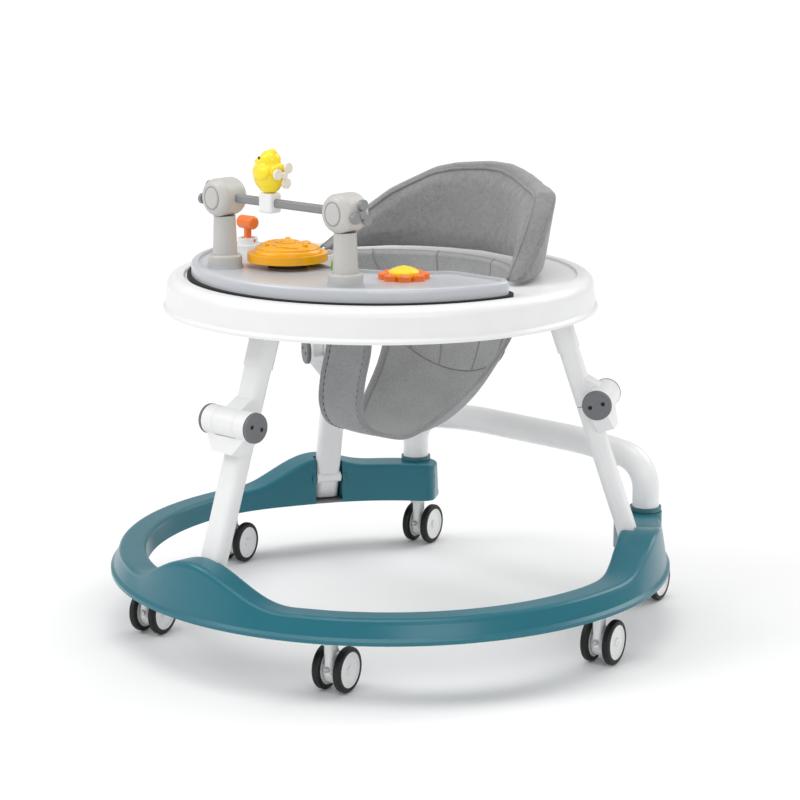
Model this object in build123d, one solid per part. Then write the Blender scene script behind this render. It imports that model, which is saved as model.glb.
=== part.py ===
from build123d import *
from math import cos, pi, radians, sin, tan
import os

os.makedirs("parts", exist_ok=True)

# Millimetres, +Z up, floor at z = 0. The child looks towards -Y, and x = 0 is the middle of the walker.
# Radii of the base are taken about baseCentreY, those of the legs about legCentreY, those of the tray about trayCentreY.
baseCentreY = 20
legCentreY = 19
trayCentreY = 4

# Base rail: a moulded channel, open underneath, that bends round three quarters of a circle.
wall = 3
railOuter = 325
railInner = 284
railInnerRear = 272
railBottom = 66
railTop = 92
railEnd = 148  # degrees from the front
endRound = 14
frontHumpRise = 37
frontHumpSpan = 22
rearHumpAt = 118
rearHumpRise = 33
rearHumpSpan = 20
endRise = 21
endFallSpan = 12

# Casters: stem positions on one side, trail, and twin wheels.
casterStems = {"front": (148, -230), "mid": (296, 38), "rear": (185, 265)}
casterYaw = 13.5
casterTrail = 15
wheelRadius = 25
wheelWidth = 9
wheelSpacing = 26
hubRadius = 19.5
axleRadius = 3
stemRadius = 5
runningGap = 0.05

# Folding legs: a straight line in each leg's radial plane, from (footR, footZ) up and inwards by lean.
legAngles = {"front": -90, "left": 30, "right": 150}
legLean = 18.73
footR = 283
footZ = 105
legDepth = 20
legWidth = 31
legCorner = 8
basePinAt = (277, 99)
kneeAt = (246, 271)
topPinAt = (206, 386)
pinRadius = 3
footRound = 32
footBottom = 71
barrelRadius = 16.5
barrelHalf = 33.5
centreKnuckle = 16
kneePinRadius = 4
capThickness = 4.5
pocketHalf = 17.5

# Tray ring, toy tray and seat.
skirtRadius = 246.5
skirtBottom = 372
trayTop = 409.5
plateTop = 407
openingRadius = 150
frontEdgeRadius = 129
frontEdgeY = 64
toyTrayRadius = 214
toyTrayEdge = 133.5
toyTrayBottom = 410.5
toyTrayRim = 425
toyTrayFloor = 422
postX = 94
postY = -148
barZ = 501
birdX = -21
domeAt = (-48, -96)
domeRadius = 45
domeTravel = 2.5
greenAt = (28, -88)
flowerAt = (105, -69)
leverAt = (-180, -33)

# Push bar.
barX = 186
barY = 263.5
barRadius = 16
barBottom = 94
barShoulder = 173
barTop = 182
socketTop = 112.5


def save(name, *shapes):
    """Writes one node as a STEP file of separate solids."""
    solids = [s for shape in shapes for s in shape.solids()]
    export_step(Compound(children=solids) if len(solids) > 1 else solids[0], f"parts/{name}.step")


def turned(shape, angle, x=0, y=0, z=0):
    """Turns a shape about Z by angle, then moves it."""
    return Pos(x, y, z) * Rot(0, 0, angle) * shape


def pinAlongY(radius, half, x, z, centre=0):
    """A round bar along Y."""
    return Pos(x, centre, z) * Rot(90, 0, 0) * Cylinder(radius, 2 * half)


def pinAlongX(radius, length, x, y, z):
    """A round bar along X."""
    return Pos(x, y, z) * Rot(0, 90, 0) * Cylinder(radius, length)


# ---------------------------------------------------------------- base rail


def bump(t):
    """1 in the middle, falling smoothly to 0 at t = -1 and t = 1."""
    return 0.5 + 0.5 * cos(pi * max(-1.0, min(1.0, t)))


def railHeight(phi):
    """Top of the rail at phi degrees from the front: low between the legs, humped at each of them."""
    side = abs(phi)
    height = railTop + frontHumpRise * bump(side / frontHumpSpan)
    if side <= rearHumpAt:
        return height + rearHumpRise * bump((side - rearHumpAt) / rearHumpSpan)
    return height + endRise + (rearHumpRise - endRise) * bump((side - rearHumpAt) / endFallSpan)


def railInside(phi):
    """Radius of the inner wall, which comes inwards near the rear legs."""
    t = max(0.0, min(1.0, (abs(phi) - 90) / 26))
    return railInner + (railInnerRear - railInner) * t * t * (3 - 2 * t)


def railLoft(profile, phis, insets):
    """A solid through one radial section per angle. Each section is profile(phi, inset) in (r, z)."""
    wires = []
    for phi, inset in zip(phis, insets):
        a = radians(phi)
        corners = [(r * sin(a), baseCentreY - r * cos(a), z) for r, z in profile(phi, inset)]
        wires.append(Wire.make_polygon([Vector(*c) for c in corners], close=True))
    return Solid.make_loft(wires)


def outerProfile(phi, inset):
    top = railHeight(phi) - 0.3 * inset
    inner, outer = railInside(phi) + inset, railOuter - inset
    return [
        (inner, railBottom), (outer, railBottom), (outer, railBottom + 4), (outer - 3.5, railBottom + 7),
        (outer - 9, top - 6), (outer - 10, top - 2.5), (outer - 12, top - 0.7), (outer - 15, top),
        (inner + 5, top), (inner + 2, top - 0.8), (inner + 0.4, top - 3), (inner, top - 6),
    ]


def innerProfile(phi, inset):
    top = railHeight(phi) - wall
    inner, outer = railInside(phi) + wall, railOuter - wall
    return [
        (inner, railBottom - 6), (outer - 4, railBottom - 6), (outer - 4, railBottom + 7),
        (outer - 9.5, top - 4), (outer - 12, top), (inner + 3, top), (inner, top - 4),
    ]


def legBlock(radiusFrom, radiusTo, half, bottom, top):
    """A box in the radial plane of a leg that points along +X."""
    size = (radiusTo - radiusFrom, 2 * half, top - bottom)
    return Pos((radiusFrom + radiusTo) / 2, 0, (bottom + top) / 2) * Box(*size)


def makeBaseRing():
    fine = [railEnd - d for d in (0, 0.12, 0.45, 0.95, 1.6, 2.4)]
    run = [railEnd - 5.5 - 4.05 * i for i in range(36)]
    right = fine + [p for p in run if p > 1]
    phis = [-p for p in right] + [0] + right[::-1]
    reach = [max(0.0, endRound - radians(railEnd - abs(p)) * 298) for p in phis]
    insets = [endRound - (endRound**2 - d**2) ** 0.5 for d in reach]
    outer = railLoft(outerProfile, phis, insets)
    steps = [-144 + 4 * i for i in range(73)]
    shell = outer - railLoft(innerProfile, steps, [0] * len(steps))
    bosses = []
    for angle in legAngles.values():
        bosses.append(turned(legBlock(250, 312, pocketHalf + 4, railBottom, 160), angle, 0, legCentreY))
    for x, y in casterStems.values():
        for side in (-1, 1):
            bosses.append(Pos(side * x, y, railBottom + 13) * Cylinder(9.5, 26))
    for boss in bosses:
        shell += outer & boss
    for side in (-1, 1):
        height = socketTop - railBottom
        shell += Pos(side * barX, barY, railBottom + height / 2) * Cylinder(barRadius + 3.5, height)
    for angle in legAngles.values():
        ears = legBlock(basePinAt[0], 286, pocketHalf + 4, basePinAt[1] - 8, basePinAt[1] + 8)
        ears += pinAlongY(8, pocketHalf + 4, *basePinAt)
        shell += turned(ears, angle, 0, legCentreY)
    for angle in legAngles.values():
        slope = tan(radians(legLean))
        outline = [(230, 60), (310, 60), (310, 106), (303, 118)]
        outline += [(footR + 12.5 - slope * 13, 118), (footR + 12.5 - slope * 95, 200)]
        pocket = extrude(Plane.XZ * make_face(Polyline(*outline, (230, 200), close=True)), pocketHalf, both=True)
        pocket += pinAlongY(pinRadius, pocketHalf + 9, *basePinAt)
        shell -= turned(pocket, angle, 0, legCentreY)
    for x, y in casterStems.values():
        for side in (-1, 1):
            shell -= Pos(side * x, y, railBottom + 11) * Cylinder(stemRadius + runningGap, 22.01)
    for side in (-1, 1):
        shell -= Pos(side * barX, barY, barBottom + 20) * Cylinder(barRadius, 40)
    return shell


def makeFootPlates():
    plate = legBlock(272.5, 308, pocketHalf, railBottom, railBottom + 3)
    return [turned(plate, angle, 0, legCentreY) for angle in legAngles.values()]


def makeBasePins():
    pin = pinAlongY(pinRadius, pocketHalf + 4, *basePinAt)
    return [turned(pin, angle, 0, legCentreY) for angle in legAngles.values()]


def makePushBar():
    points = [(-barX, barY, barBottom), (-barX, barY, barShoulder), (-90, barY, barTop)]
    points += [(-x, y, z) for x, y, z in points[::-1]]
    path = FilletPolyline(*points, radius=[38, 500, 500, 38])
    ends = Plane(origin=path @ 0, z_dir=path % 0)
    return sweep(ends * (Circle(barRadius) - Circle(barRadius - 2)), path=path)


def makeBarSockets():
    """Collars round the feet of the push bar, standing on the rail's ends."""
    ring = Cylinder(barRadius + 2.6, 5) - Cylinder(barRadius, 5)
    top = railHeight(142) + 0.5
    return [Pos(side * barX, barY, top + 2.5) * ring for side in (-1, 1)]


# ---------------------------------------------------------------- casters


def makeCaster():
    """Housing, hub pair on its axle, and tyre pair, with the stem on Z and the wheels trailing towards +Y."""
    axle = (casterTrail, wheelRadius)
    plate = Pos(0, *axle) * Rot(0, 90, 0) * Cylinder(17, 13)
    post = Pos(0, 1, 40) * Box(10, 11, 36)
    plate += fillet(post.edges().filter_by(Axis.Z), 4)
    plate += Pos(0, 4, 50) * Box(9, 14, 12)
    plate += Pos(0, 0, 59.5) * Cylinder(9, 7)
    plate += Pos(0, 0, 74.5) * Cylinder(stemRadius, 25)
    plate -= pinAlongX(axleRadius + runningGap, 40, 0, *axle)
    outerFace = (wheelSpacing + wheelWidth) / 2
    hubs = pinAlongX(axleRadius, 2 * outerFace, 0, *axle)
    tyres = []
    discs = []
    for side in (-1, 1):
        middle = side * wheelSpacing / 2
        disc = pinAlongX(hubRadius, wheelWidth - 1, middle, *axle) - pinAlongX(axleRadius, 60, 0, *axle)
        dish = pinAlongX(hubRadius - 3, 2, side * (outerFace - 0.5), *axle)
        cap = pinAlongX(5, 2, side * (outerFace - 0.5), *axle) - pinAlongX(axleRadius, 60, 0, *axle)
        discs.append(disc - dish + cap)
        tyre = pinAlongX(wheelRadius, wheelWidth, middle, *axle)
        tyre = fillet(tyre.edges(), 3.2) - pinAlongX(hubRadius, 60, 0, *axle)
        tyres.append(tyre)
    return plate, [hubs] + discs, tyres


def makeCasters():
    housing, hubs, tyres = makeCaster()
    for place, (x, y) in casterStems.items():
        for sideName, side in (("left", 1), ("right", -1)):
            spot = (casterYaw, side * x, y)
            save(f"caster_{place}_{sideName}_housing", turned(housing, *spot))
            save(f"caster_{place}_{sideName}_hubs", *[turned(h, *spot) for h in hubs])
            save(f"caster_{place}_{sideName}_tyres", *[turned(t, *spot) for t in tyres])


# ---------------------------------------------------------------- legs

lean = radians(legLean)
legPlane = Plane(origin=(footR, 0, footZ), x_dir=(cos(lean), 0, sin(lean)), z_dir=(-sin(lean), 0, cos(lean)))


def alongLeg(point):
    """A radial-plane point (r, z) as (outwards from the leg's line, up along it)."""
    r, z = point[0] - footR, point[1] - footZ
    return r * cos(lean) + z * sin(lean), z * cos(lean) - r * sin(lean)


basePin = alongLeg(basePinAt)
knee = alongLeg(kneeAt)
topPin = alongLeg(topPinAt)


def tube(low, high, grow=0.0):
    section = RectangleRounded(legDepth + 2 * grow, legWidth + 2 * grow, legCorner + grow)
    return Pos(0, 0, low) * extrude(section, high - low)


def inLegPlane(*points):
    """A face through (outwards, along) points in the leg's own radial plane."""
    return Plane.XZ * make_face(Polyline(*points, close=True))


def makeLowerLeg():
    leg = tube(basePin[1] - 50, knee[1] - 0.5)
    leg -= Pos(0, 0, basePin[1] - 45) * Box(90, 60, 90) - pinAlongY(footRound, 40, *basePin)
    under = [alongLeg(point) for point in ((200, footBottom), (360, footBottom), (360, 0), (200, 0))]
    leg -= extrude(inLegPlane(*under), 60, both=True)
    leg += pinAlongY(6.5, legWidth / 2, *basePin)
    leg -= pinAlongY(pinRadius + runningGap, 40, *basePin)
    top, spread = knee[1], barrelHalf
    saddle = [(-spread, top), (spread, top), (spread, top - 10), (legWidth / 2, top - 34), (-legWidth / 2, top - 34)]
    saddle.append((-spread, top - 10))
    web = extrude(Plane.YZ * make_face(Polyline(*saddle, close=True)), 19)
    leg += Pos(6, 0, 0) * web
    leg += pinAlongY(barrelRadius, barrelHalf, *knee)
    leg -= pinAlongY(barrelRadius + 0.6, centreKnuckle + 0.3, *knee)
    leg -= Pos(-20, 0, knee[1] + 29.5) * Box(60, 60, 60)
    leg -= pinAlongY(kneePinRadius, 60, *knee)
    return leg


def makeUpperLeg():
    leg = tube(knee[1] + 0.5, topPin[1] - 6)
    leg += pinAlongY(barrelRadius, centreKnuckle, *knee)
    low = knee[1] + 1
    web = inLegPlane((6, low), (26, low), (26, low + 11), (9.9, low + 29), (6, low + 29))
    leg += extrude(web, legWidth / 2 - 3, both=True)
    leg += legHead()
    leg -= slantAboveTop()
    leg -= pinAlongY(kneePinRadius + runningGap, 60, *knee)
    leg -= pinAlongY(pinRadius + runningGap, 60, *topPin)
    return leg


def legHead():
    """The lug that carries the top pivot, outwards of the tube."""
    x, s = topPin
    head = inLegPlane((-9, s - 28), (10, s - 28), (x + 9, s - 4), (x + 9, s), (x - 9, s + 5), (-9, s - 11))
    return extrude(head, legWidth / 2 - 1, both=True) + pinAlongY(9, legWidth / 2 - 1, x, s)


def slantAboveTop():
    """What has to go from the leg's top, so that the folded leg clears the tray's plate."""
    x, s = topPin
    return extrude(inLegPlane((-30, s - 13.5), (8, s + 30.5), (8, s + 60), (-30, s + 60)), 60, both=True)


def makeSleeve():
    low, high = 234, topPin[1] - 8
    return tube(low, high, 1.6) - tube(low - 1, high + 1) - slantAboveTop() - legHead()


def makeKneeCaps():
    """Two end caps on the barrel, each held by two screws."""
    solids = []
    for side in (-1, 1):
        middle = side * (barrelHalf + capThickness / 2)
        cap = pinAlongY(barrelRadius, capThickness / 2, *knee, middle)
        cap = chamfer(cap.edges().group_by(Axis.Y)[-1 if side > 0 else 0], 1)
        for shift in (-7.5, 7.5):
            screw = (knee[0] + shift, knee[1])
            cap -= pinAlongY(2.4, 20, *screw, middle)
            solids.append(pinAlongY(2.4, capThickness / 2 - 0.6, *screw, side * (barrelHalf + capThickness / 2 - 0.6)))
        solids.append(cap)
    return solids


def makeLegs():
    pieces = {
        "lower_leg": [makeLowerLeg()],
        "upper_leg": [makeUpperLeg()],
        "height_sleeve": [makeSleeve()],
        "knee_pin": [pinAlongY(kneePinRadius, barrelHalf, *knee)],
        "knee_caps": makeKneeCaps(),
    }
    for name, angle in legAngles.items():
        for piece, shapes in pieces.items():
            save(f"{name}_{piece}", *[turned(legPlane.location * s, angle, 0, legCentreY) for s in shapes])


# ---------------------------------------------------------------- tray ring and seat


def openingFace(grow=0.0):
    """Seat opening in plan: round, with its front edge set back for the toy tray."""
    front = Pos(0, frontEdgeY) * Circle(frontEdgeRadius + grow)
    return Pos(0, trayCentreY) * Circle(openingRadius + grow) & front


def makeTrayRing():
    plateUnder = plateTop - wall
    with BuildSketch(Plane.XZ) as profile:
        with BuildLine():
            Polyline((0, plateUnder), (0, plateTop), (221.5, plateTop), (223, trayTop), (230, trayTop))
            TangentArc((230, trayTop), (242.3, 397), tangent=(1, 0))
            Polyline((242.3, 397), (243.6, 378), (skirtRadius, 375), (skirtRadius, skirtBottom))
            Polyline((skirtRadius, skirtBottom), (242.5, skirtBottom), (240.4, 378), (239.3, 396), (236, 402))
            Polyline((236, 402), (229, plateUnder + 1), (0, plateUnder))
        make_face()
    ring = Pos(0, trayCentreY, 0) * revolve(profile.sketch, Axis.Z)
    rim = Pos(0, 0, 388) * extrude(openingFace(wall), plateTop + 1.5 - 388)
    ring += rim
    return ring - Pos(0, 0, 380) * extrude(openingFace(), 40)


def makeTopBrackets():
    """Cheeks under the tray for each leg's head. Those at the rear stand further apart on one side."""
    solids = []
    r, z = topPinAt
    for name, angle in legAngles.items():
        for side in (-1, 1):
            away = pocketHalf - 0.5
            if (name, side) in (("left", -1), ("right", 1)):
                away = pocketHalf + 15
            cheek = legBlock(r - 12, r + 12, 2, z, plateTop - wall) + pinAlongY(9, 2, r, z)
            if name == "front":
                cheek -= pinAlongY(pinRadius, 20, r, z)
            solids.append(turned(Pos(0, side * (away + 2), 0) * cheek, angle, 0, legCentreY))
    return solids


def makeFrontTopPin():
    pin = pinAlongY(pinRadius, pocketHalf + 3.5, *topPinAt)
    return turned(pin, legAngles["front"], 0, legCentreY)


def seatTopOutline():
    """Side outline of the back pad: high behind the child, running down to nothing at the tips."""
    return [(43, 410), (67, 415), (87, 424), (108, 440), (131, 468), (152, 492), (171, 508), (185, 517), (209, 527)]


def makeSeatBack():
    """Wrap-round back pad, standing on the tray's plate."""
    section = Pos(169, 466) * RectangleRounded(30, 117, 12)
    pad = revolve(Rot(0, 0, 12) * (Plane.XZ * section), Axis.Z, 156)
    pad = Pos(0, trayCentreY, 0) * pad
    edge = Spline(*[(y, z) for y, z in seatTopOutline()])
    side = Plane.YZ * make_face([edge, Polyline((209, 527), (209, 400), (43, 400), (43, 410))])
    return pad & Pos(-220, 0, 0) * extrude(side, 440)


def makeSlingSeat():
    """Hanging fabric seat: a bowl with two leg holes and a strap between them."""
    outside = [(106, 402), (105, 345), (95, 292), (72, 250), (38, 222), (0, 214)]
    inside = [(0, 218), (37, 226), (69, 253), (91, 294), (101, 345), (102, 402)]
    bowl = revolve(Plane.XZ * make_face(Polyline(*outside, *inside, close=True)), Axis.Z)
    bowl = Pos(0, 44, 0) * bowl
    for side in (-1, 1):
        bowl -= Pos(side * (34 + 60), 9, 302) * fillet(Box(120, 110, 150).edges().filter_by(Axis.X), 40)
    return bowl


# ---------------------------------------------------------------- toy tray


def toyTrayFace(grow=0.0):
    """Plan of the toy tray: a crescent with blunt rounded tips."""
    crescent = Pos(0, trayCentreY) * Circle(toyTrayRadius) - Pos(0, frontEdgeY) * Circle(toyTrayEdge)
    crescent -= Pos(0, 197) * Rectangle(600, 400)
    tips = crescent.vertices().filter_by(lambda v: v.Y > -11)
    face = fillet(tips, 24)
    return offset(face, grow) if grow else face


def makeToyTray():
    body = Pos(0, 0, toyTrayBottom) * extrude(toyTrayFace(), toyTrayRim - toyTrayBottom)
    body = fillet(body.edges().group_by(Axis.Z)[-1], 4)
    body -= Pos(0, 0, toyTrayFloor) * extrude(toyTrayFace(-8), 10)
    cavity = Pos(0, 0, toyTrayBottom) * extrude(toyTrayFace(-4), toyTrayFloor - toyTrayBottom - 3)
    body -= cavity
    for side in (-1, 1):
        body += Pos(side * postX, postY, toyTrayFloor + 1.5) * Cylinder(20, 3)
    return body


def makeTrayMat():
    """Dark anti-slip sheet between the toy tray and the ring."""
    face = toyTrayFace(5) - Pos(0, frontEdgeY) * Circle(toyTrayEdge)
    return Pos(0, 0, plateTop) * extrude(face, toyTrayBottom - plateTop)


def makePosts():
    posts = []
    for side in (-1, 1):
        base = toyTrayFloor + 3
        post = Pos(side * postX, postY, base + 6) * fillet(Cylinder(19, 12).edges().group_by(Axis.Z)[-1], 3)
        post += Pos(side * postX, postY, base + 33) * Cone(13.8, 12.2, 44)
        head = Pos(side * postX, postY, barZ) * Rot(90, 0, 0) * Cylinder(21, 38)
        post += fillet(head.edges(), 9)
        post -= pinAlongX(axleRadius + runningGap, 20, side * (postX + 16), postY, barZ)
        post -= Pos(side * (postX - 17), postY, barZ) * toyBarShape(9)
        posts.append(post)
    return posts


def toyBarShape(half):
    return extrude(Plane.YZ * Rot(0, 0, 90) * SlotOverall(10, 7), half, both=True)


def makeToyBar():
    return Pos(0, postY, barZ) * toyBarShape(postX - 8.2)


def makeSpinner(side):
    """Three-petal spinner on the outer face of a post's head, turning on a short stub."""
    face = side * (postX + 21.5)
    spinner = pinAlongX(4.5, 6, face + side * 3, 0, 0) + pinAlongX(axleRadius, 14, face - side * 2, 0, 0)
    for turn in (80, 200, 320):
        petal = pinAlongX(6, 4, face + side * 3, 10, 0) + Pos(face + side * 3, 5, 0) * Box(3, 8, 4)
        spinner += Rot(turn, 0, 0) * petal
    return Pos(0, postY, barZ) * spinner


def makeBirdClip():
    clip = Pos(birdX, postY, barZ) * fillet(Box(20, 17, 22).edges(), 3)
    return clip - Pos(birdX, postY, barZ) * toyBarShape(20) - Pos(birdX, postY, barZ + 10) * Cylinder(3.05, 8)


def makeBird():
    """Bird that turns on a stub in the top of its clip."""
    z = barZ + 11.5
    body = Pos(birdX, postY, z + 20) * scale(Sphere(1), by=(19, 18, 20.2))
    body += Pos(birdX + 2, postY, z + 36) * Sphere(13)
    body += Pos(birdX - 12, postY, z + 37) * scale(Sphere(1), by=(8, 4.5, 4))
    body &= Pos(birdX, postY, z + 50) * Box(80, 80, 100)
    body += Pos(birdX, postY, z - 1) * Cylinder(3, 8)
    return body - pinAlongX(2.05, 20, birdX + 19, postY, z + 20)


def makeBirdPropeller():
    x, z = birdX + 19.6, barZ + 31.5
    propeller = pinAlongX(3.5, 5, x + 3, 0, 0) + pinAlongX(2, 12, x - 3.5, 0, 0)
    for turn in (50, 170, 290):
        petal = pinAlongX(5.8, 3, x + 3, 9.5, 0) + Pos(x + 3, 5, 0) * Box(2.6, 8, 3.6)
        propeller += Rot(turn, 0, 0) * petal
    return Pos(0, postY, z) * propeller


def makeLeverSeat():
    """White disc with a low collar that holds the lever's trunnions."""
    seat = Pos(0, 0, 2) * Cylinder(16, 4) + Pos(0, 0, 6) * Cylinder(12, 12)
    seat -= Pos(0, 0, 11) * Cylinder(8, 20)
    return Pos(*leverAt, toyTrayFloor) * (seat - pinAlongX(2.05, 60, 0, 0, 9))


def makeLever():
    z = toyTrayFloor + 9
    lever = Pos(*leverAt, z) * Sphere(6) + pinAlongX(2, 22, *leverAt, z)
    lever += Pos(*leverAt, z + 10) * Cylinder(4.5, 20)
    head = fillet(pinAlongX(8, 26, *leverAt, z + 21).edges(), 4)
    return lever + head


def makeDome():
    """Big round button: a skirted cap with a guide tube that slides on the sound unit."""
    z = toyTrayRim + domeTravel + 1.5
    crown = scale(Sphere(1), by=(domeRadius - 6, domeRadius - 6, 12)) & Pos(0, 0, 20) * Box(200, 200, 40)
    dome = Pos(0, 0, 4.5) * Cylinder(domeRadius, 9) + Pos(0, 0, 9) * crown
    dome -= Pos(0, 0, 2.5) * (Cylinder(domeRadius - 4, 5.01) - Cylinder(25, 6))
    dome -= Pos(0, 0, 3) * Cylinder(22.05, 6.01)
    return Pos(*domeAt, z) * dome


def makeSoundUnit():
    top = toyTrayRim + domeTravel + 1
    return Pos(*domeAt, (toyTrayFloor + top) / 2) * Cylinder(22, top - toyTrayFloor)


def makeGreenButton():
    button = Cylinder(11, 13)
    return Pos(*greenAt, toyTrayFloor + 3 + 6.5) * fillet(button.edges().group_by(Axis.Z)[-1], 4)


def makeFlowerPetals():
    flower = Cylinder(20, 5)
    for i in range(8):
        flower += Rot(0, 0, 45 * i) * Pos(20, 0, 0) * Cylinder(8, 5)
    return Pos(*flowerAt, toyTrayFloor + 2.5) * (flower - Cylinder(17.4, 6))


def makeFlowerButton():
    z = toyTrayFloor + 3
    dome = Pos(0, 0, 2) * Cylinder(17, 4)
    dome += Pos(0, 0, 4) * (scale(Sphere(1), by=(17, 17, 6)) & Pos(0, 0, 20) * Box(80, 80, 40))
    return Pos(*flowerAt, z) * dome


# ---------------------------------------------------------------- all nodes

save("base_ring", makeBaseRing())
save("foot_plates", *makeFootPlates())
save("base_pivot_pins", *makeBasePins())
save("push_bar", makePushBar())
save("bar_sockets", *makeBarSockets())
makeCasters()
makeLegs()
save("tray_ring", makeTrayRing())
save("top_brackets", *makeTopBrackets())
save("front_top_pin", makeFrontTopPin())
save("seat_back", makeSeatBack())
save("sling_seat", makeSlingSeat())
save("toy_tray", makeToyTray())
save("tray_mat", makeTrayMat())
save("toy_posts", *makePosts())
save("toy_bar", makeToyBar())
save("left_spinner", makeSpinner(1))
save("right_spinner", makeSpinner(-1))
save("bird_clip", makeBirdClip())
save("bird", makeBird())
save("bird_propeller", makeBirdPropeller())
save("lever_seat", makeLeverSeat())
save("lever", makeLever())
save("music_dome", makeDome())
save("sound_unit", makeSoundUnit())
save("green_button", makeGreenButton())
save("flower_petals", makeFlowerPetals())
save("flower_button", makeFlowerButton())
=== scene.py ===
from math import cos, pi, radians, sin

import bmesh
import bpy
import numpy as np
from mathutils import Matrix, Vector
from mathutils.bvhtree import BVHTree


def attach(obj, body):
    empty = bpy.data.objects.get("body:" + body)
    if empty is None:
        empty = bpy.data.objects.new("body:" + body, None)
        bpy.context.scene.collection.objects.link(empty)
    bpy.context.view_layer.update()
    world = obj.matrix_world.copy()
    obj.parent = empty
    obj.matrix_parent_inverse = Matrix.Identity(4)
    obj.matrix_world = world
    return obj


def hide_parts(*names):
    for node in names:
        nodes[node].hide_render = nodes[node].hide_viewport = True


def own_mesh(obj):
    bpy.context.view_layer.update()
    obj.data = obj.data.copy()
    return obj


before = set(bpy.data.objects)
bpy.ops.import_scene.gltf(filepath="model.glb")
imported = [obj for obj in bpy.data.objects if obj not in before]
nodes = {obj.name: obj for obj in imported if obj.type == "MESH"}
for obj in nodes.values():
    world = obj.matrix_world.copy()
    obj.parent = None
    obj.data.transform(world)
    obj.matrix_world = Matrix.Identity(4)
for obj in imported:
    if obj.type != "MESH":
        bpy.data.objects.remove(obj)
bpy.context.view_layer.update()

print("frame loaded:", len(nodes), "CAD nodes")


# Shader helpers: a Wire is one socket that can be used in arithmetic.
class Wire:
    def __init__(self, paint, socket):
        self.paint, self.socket = paint, socket

    def math(self, operation, other, swapped=False):
        pair = (other, self) if swapped else (self, other)
        return self.paint.node("Math", {"operation": operation}, {0: pair[0], 1: pair[1]})

    def __add__(self, other):
        return self.math("ADD", other)

    def __radd__(self, other):
        return self.math("ADD", other, True)

    def __sub__(self, other):
        return self.math("SUBTRACT", other)

    def __rsub__(self, other):
        return self.math("SUBTRACT", other, True)

    def __mul__(self, other):
        return self.math("MULTIPLY", other)

    def __rmul__(self, other):
        return self.math("MULTIPLY", other, True)

    def __truediv__(self, other):
        return self.math("DIVIDE", other)

    def sine(self):
        return self.math("SINE", 0.0)

    def clamped(self, low, high):
        return self.math("MAXIMUM", low).math("MINIMUM", high)


class Paint:
    def __init__(self, name):
        self.material = bpy.data.materials.new(name)
        self.material.use_nodes = True
        self.tree = self.material.node_tree
        self.shader = self.tree.nodes["Principled BSDF"]

    def link(self, value, socket):
        if isinstance(value, Wire):
            self.tree.links.new(value.socket, socket)
        else:
            socket.default_value = value

    def node(self, kind, settings=None, values=None, out=0):
        made = self.tree.nodes.new("ShaderNode" + kind)
        for key, value in (settings or {}).items():
            setattr(made, key, value)
        for key, value in (values or {}).items():
            self.link(value, made.inputs[key])
        return Wire(self, made.outputs[out])

    def objectPlace(self):
        return self.node("TexCoord", out="Object")

    def noise(self, place, size, detail=2.0, rough=0.5):
        values = {"Vector": place, "Scale": 1.0 / size, "Detail": detail, "Roughness": rough}
        return self.node("TexNoise", None, values, "Fac")

    def mix(self, amount, first, second):
        values = {"Factor": amount, 6: (*first, 1.0) if isinstance(first, tuple) else first,
                  7: (*second, 1.0) if isinstance(second, tuple) else second}
        return self.node("Mix", {"data_type": "RGBA"}, values, 2)

    def bump(self, height, strength, distance):
        values = {"Height": height, "Strength": strength, "Distance": distance}
        return self.node("Bump", None, values)

    def put(self, **inputs):
        for key, value in inputs.items():
            self.link(value, self.shader.inputs[key.replace("_", " ")])
        return self.material


def scaled(colour, k):
    return tuple(min(1.0, c * k) for c in colour)


def mouldedPlastic(name, colour, rough=0.35, grain=0.00035, coat=0.15, depth=0.00002, scuffs=0.06):
    # Slight mottling, fine moulded grain, and broad changes of gloss from handling.
    p = Paint(name)
    place = p.objectPlace()
    mottle = p.noise(place, 0.03, 3.0)
    fine = p.noise(place, grain, 1.0)
    worn = p.noise(place, 0.011, 4.0, 0.65)
    colourWire = p.mix((mottle - 0.3).clamped(0.0, 1.0), scaled(colour, 0.96), scaled(colour, 1.03))
    roughWire = (worn - 0.5) * scuffs + rough
    normal = p.bump(fine * 0.6 + worn * 0.4, 0.35, depth)
    p.shader.inputs["Coat Roughness"].default_value = 0.2
    return p.put(Base_Color=colourWire, Roughness=roughWire, Coat_Weight=coat, Normal=normal)


def brushedSteel(name):
    p = Paint(name)
    place = p.node("Mapping", None, {"Vector": p.objectPlace(), "Scale": (1.0, 1.0, 14.0)})
    lines = p.noise(place, 0.002, 3.0)
    return p.put(Base_Color=p.mix(lines, (0.42, 0.43, 0.44), (0.62, 0.63, 0.64)), Metallic=1.0,
                 Roughness=lines * 0.2 + 0.22, Normal=p.bump(lines, 0.2, 0.00002))


def tyreRubber(name):
    p = Paint(name)
    place = p.objectPlace()
    dust = p.noise(place, 0.006, 4.0, 0.6)
    clean, dusty = (0.0012, 0.0012, 0.0013), (0.006, 0.006, 0.006)
    return p.put(Base_Color=p.mix((dust - 0.45).clamped(0.0, 1.0), clean, dusty),
                 Roughness=dust * 0.2 + 0.42, Normal=p.bump(p.noise(place, 0.0006), 0.4, 0.00004))


def plushFabric(name, dark, light):
    # Short heathered pile: fibres of two greys, clumped, with a soft sheen.
    p = Paint(name)
    place = p.objectPlace()
    fibre = p.noise(place, 0.0011, 3.0, 0.7)
    clump = p.noise(place, 0.0045, 3.0, 0.6)
    shade = p.noise(place, 0.05, 2.0)
    tone = (fibre * 0.75 + clump * 0.45 + shade * 0.2 - 0.35).clamped(0.0, 1.0)
    p.shader.inputs["Sheen Weight"].default_value = 0.5
    p.shader.inputs["Sheen Roughness"].default_value = 0.45
    p.shader.inputs["Specular IOR Level"].default_value = 0.15
    return p.put(Base_Color=p.mix(tone, dark, light), Roughness=fibre * 0.1 + 0.85,
                 Normal=p.bump(fibre * 0.6 + clump * 0.5, 0.9, 0.0009))


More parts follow.
